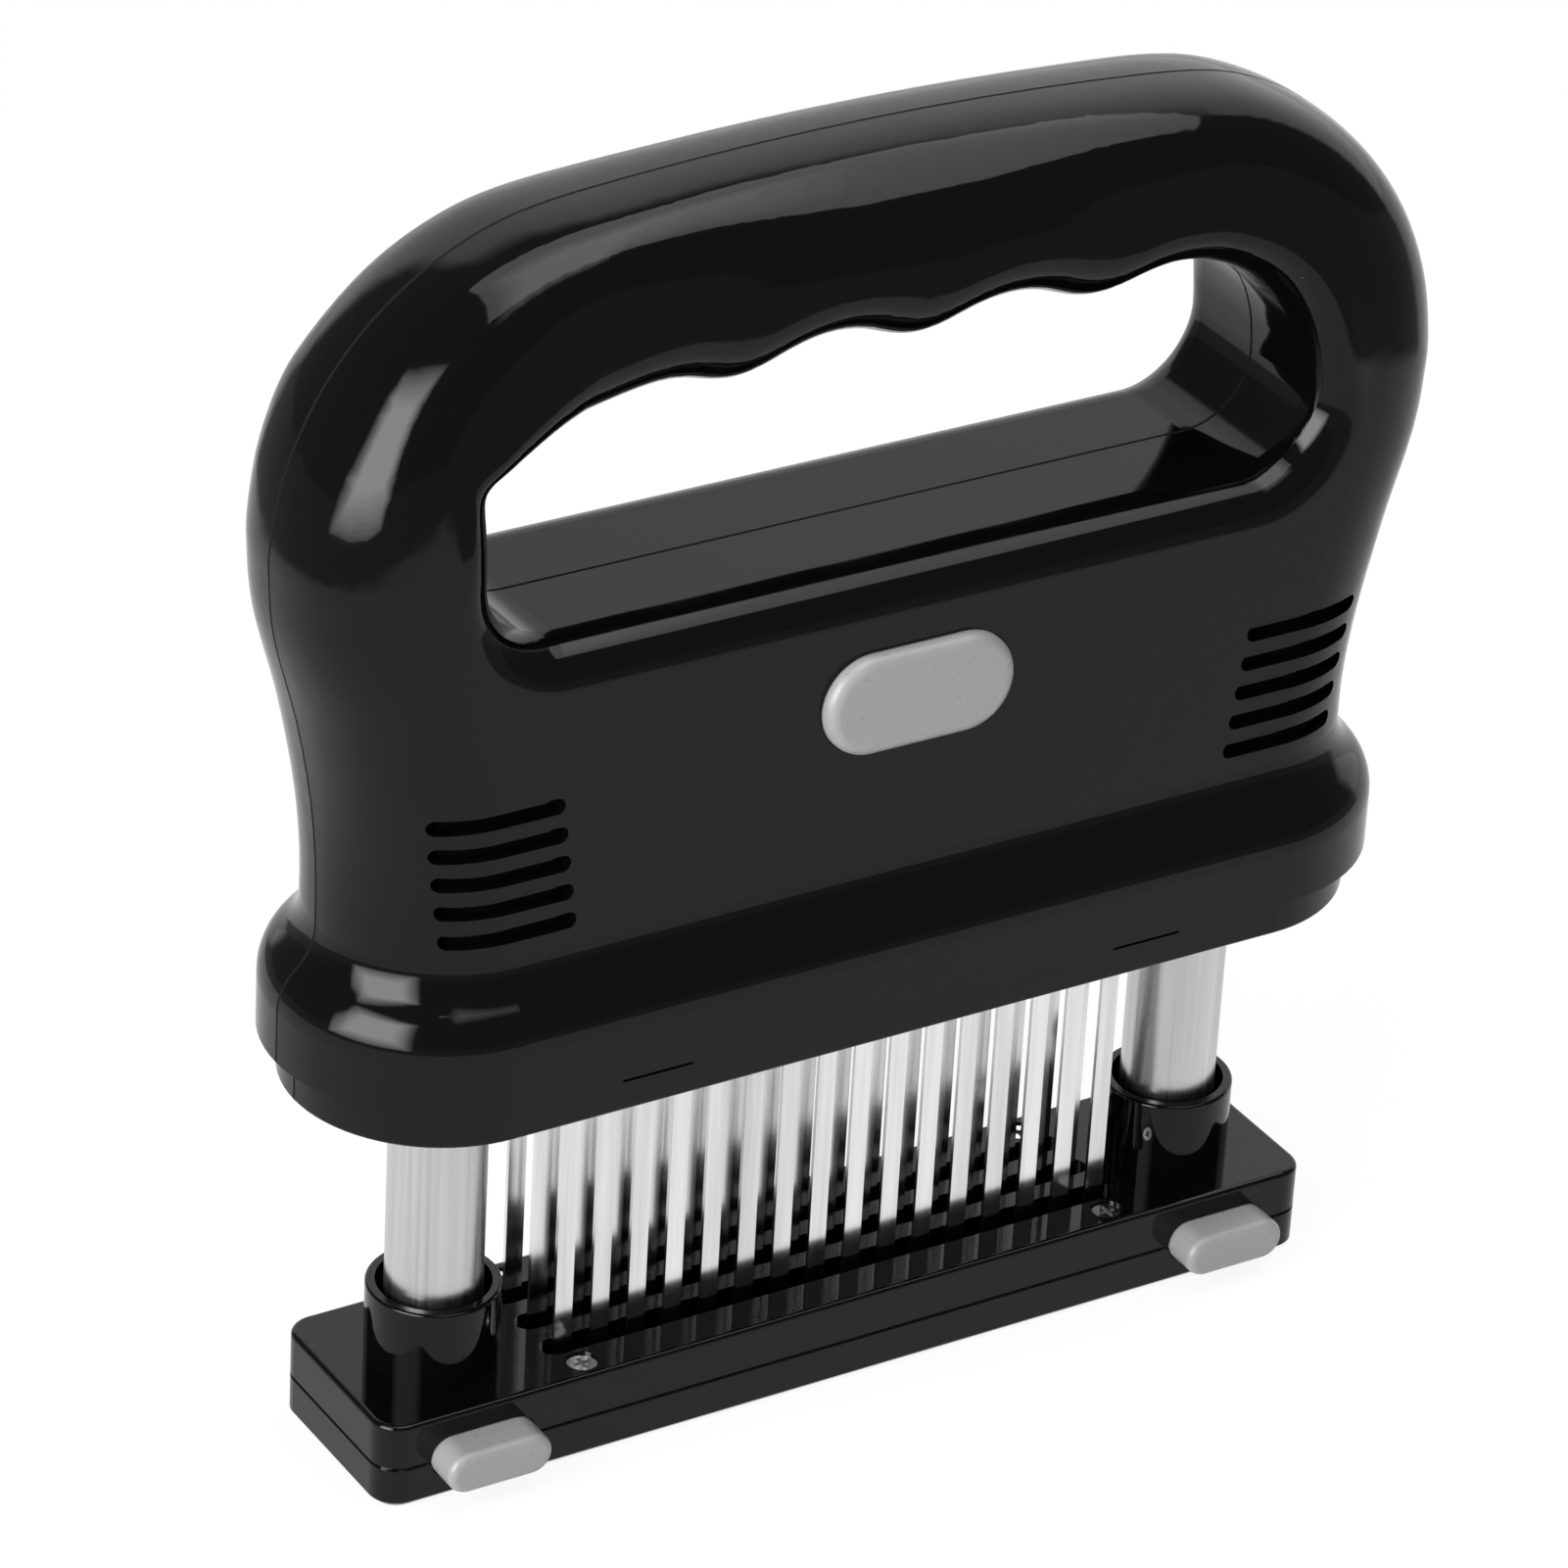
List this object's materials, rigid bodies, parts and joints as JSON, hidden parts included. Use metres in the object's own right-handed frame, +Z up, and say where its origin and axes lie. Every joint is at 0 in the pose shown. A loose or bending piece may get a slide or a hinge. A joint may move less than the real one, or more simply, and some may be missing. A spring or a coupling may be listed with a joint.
{
  "type": "blade meat tenderizer",
  "caption": "Handheld blade meat tenderizer: a D-handled blade head slides on sprung guide posts through a slotted guard base, with push buttons that release base and cassette.",
  "frame": {"origin": "middle of the flat face the guard base stands on", "axes": "+X to the right along the handle, +Y to the back, +Z up along the guide posts"},
  "size_m": [0.1354, 0.0376, 0.1445],
  "materials": {
    "black_shell": "high gloss moulded ABS",
    "black_inner": "satin moulded acetal",
    "grey_button": "satin moulded ABS",
    "blade_steel": "polished stainless strip",
    "post_steel": "brushed stainless tube",
    "spring_steel": "drawn spring wire",
    "screw_chrome": "bright plated"
  },
  "bodies": {
    "base": {"base_top_plate": "black_shell", "base_bottom_plate": "black_shell", "base_screws": "screw_chrome", "guide_post_left": "post_steel", "guide_post_right": "post_steel", "post_foot_left": "black_inner", "post_foot_right": "black_inner", "return_spring_left": "spring_steel", "return_spring_right": "spring_steel"},
    "base_button_left": {"base_button_left": "grey_button", "base_button_spring_left": "spring_steel"},
    "base_button_right": {"base_button_right": "grey_button", "base_button_spring_right": "spring_steel"},
    "head": {"post_bush_left": "black_inner", "post_bush_right": "black_inner", "cassette_front": "black_shell", "cassette_rear": "black_shell", "blade_carrier": "black_inner", "blade_clamp_plate": "post_steel", "clamp_screws": "screw_chrome", "blade_row_front": "blade_steel", "blade_row_middle": "blade_steel", "blade_row_rear": "blade_steel", "handle_front_shell": "black_shell", "handle_rear_shell": "black_shell", "handle_screws": "screw_chrome"},
    "release_button": {"release_button": "grey_button", "release_spring": "spring_steel"}
  },
  "joints": [
    {"name": "head_slide", "type": "slide", "parent": "base", "child": "head", "axis": [0, 0, 1], "range_m": [-0.026, 0], "stiffness_N_per_m": 1200, "springref_m": 0.01, "deforming": ["return_spring_left", "return_spring_right"]},
    {"name": "base_button_left_press", "type": "slide", "parent": "base", "child": "base_button_left", "axis": [0, 1, 0], "range_m": [0, 0.0025], "stiffness_N_per_m": 400, "springref_m": -0.003},
    {"name": "base_button_right_press", "type": "slide", "parent": "base", "child": "base_button_right", "axis": [0, 1, 0], "range_m": [0, 0.0025], "stiffness_N_per_m": 400, "springref_m": -0.003},
    {"name": "release_button_press", "type": "slide", "parent": "head", "child": "release_button", "axis": [0, 1, 0], "range_m": [0, 0.0025], "stiffness_N_per_m": 500, "springref_m": -0.003}
  ]
}
